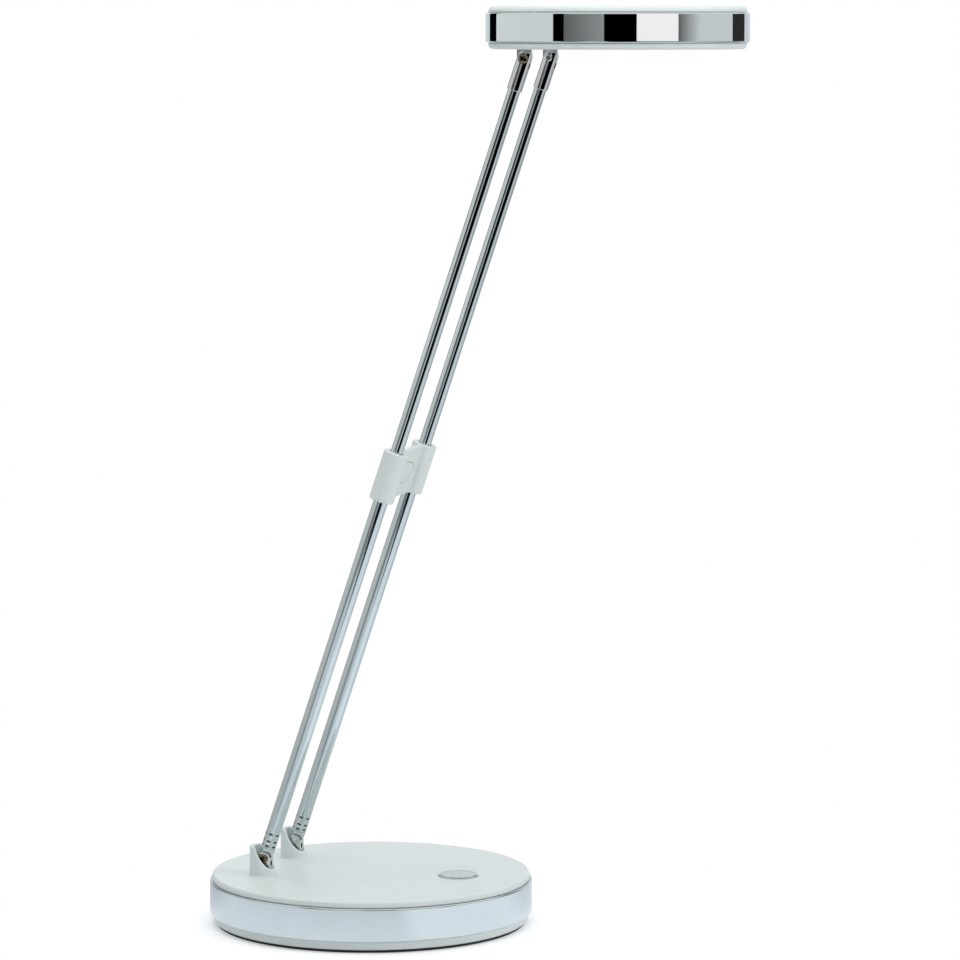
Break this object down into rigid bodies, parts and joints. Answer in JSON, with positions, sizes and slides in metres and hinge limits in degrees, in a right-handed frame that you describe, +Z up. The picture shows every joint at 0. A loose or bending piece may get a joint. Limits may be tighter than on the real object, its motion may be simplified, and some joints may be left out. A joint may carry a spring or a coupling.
{
  "type": "desk lamp",
  "caption": "Folding desk lamp with a weighted round base, a twin-tube telescopic arm that carries the current, and a flat round tilting LED head.",
  "frame": {"origin": "centre of the foot pad's underside, on the table", "axes": "+Z up, +X the way the arm leans and folds, Y along the hinge axes"},
  "size_m": [0.2347, 0.14, 0.3957],
  "materials": {
    "white_plastic": "satin moulded white plastic",
    "chrome": "bright plated",
    "tube_chrome": "bright plated tube",
    "nickel": "polished nickel",
    "screw_brass": "dull nickel over brass",
    "contact_brass": "plain brass",
    "zinc_steel": "zinc plated",
    "ballast_steel": "plain steel plate",
    "foot_rubber": "matt black foam rubber",
    "black_plastic": "moulded black plastic",
    "switch_plastic": "natural plastic",
    "board": "green circuit board",
    "red_lead": "red lead insulation",
    "black_lead": "black lead insulation",
    "opal": "opal acrylic",
    "led_board": "white coated aluminium board",
    "led_phosphor": "phosphor under clear resin"
  },
  "bodies": {
    "base": {"foot_pad": "foot_rubber", "base_tray": "white_plastic", "ballast_plate": "ballast_steel", "base_band": "chrome", "base_cover": "white_plastic", "base_screws": "zinc_steel", "dc_jack": "black_plastic", "driver_board": "board", "driver_parts": "black_plastic", "board_screws": "zinc_steel", "push_switch": "black_plastic", "supply_lead_red": "red_lead", "supply_lead_black": "black_lead", "feed_lead_front": "black_lead", "feed_lead_rear": "red_lead", "hinge_cup_front": "white_plastic", "hinge_cup_rear": "white_plastic", "base_fork_front": "nickel", "base_fork_rear": "nickel", "base_hinge_screws": "screw_brass", "solder_tags": "contact_brass", "fork_nuts": "contact_brass"},
    "button": {"button_cap": "chrome", "switch_plunger": "switch_plastic"},
    "lower_arm": {"tube_foot_front": "tube_chrome", "tube_foot_rear": "tube_chrome", "lower_tube_front": "tube_chrome", "lower_tube_rear": "tube_chrome", "arm_clip": "white_plastic"},
    "upper_arm": {"upper_tube_front": "tube_chrome", "upper_tube_rear": "tube_chrome", "contact_bush_front": "contact_brass", "contact_bush_rear": "contact_brass", "top_ferrule_front": "nickel", "top_ferrule_rear": "nickel", "top_hinge_screws": "screw_brass"},
    "head": {"head_tab_front": "nickel", "head_tab_rear": "nickel", "head_lower_cover": "white_plastic", "head_band": "chrome", "head_top_cover": "white_plastic", "diffuser": "opal", "led_board": "led_board", "led_chips": "led_phosphor", "led_screws": "zinc_steel", "head_screws": "zinc_steel", "head_lead_front": "black_lead", "head_lead_rear": "red_lead"}
  },
  "joints": [
    {"name": "arm_tilt", "type": "hinge", "parent": "base", "child": "lower_arm", "pos_m": [-0.0414, 0, 0.0295], "axis": [0, 1, 0], "range_deg": [-25, 68]},
    {"name": "arm_slide", "type": "slide", "parent": "lower_arm", "child": "upper_arm", "axis": [0.319, 0, 0.9478], "range_m": [-0.142, 0]},
    {"name": "head_tilt", "type": "hinge", "parent": "upper_arm", "child": "head", "pos_m": [0.07451, 0, 0.37392], "axis": [0, 1, 0], "range_deg": [-70, 100]},
    {"name": "button_press", "type": "slide", "parent": "base", "child": "button", "axis": [0, 0, -1], "range_m": [0, 0.0008], "stiffness_N_per_m": 2000}
  ]
}
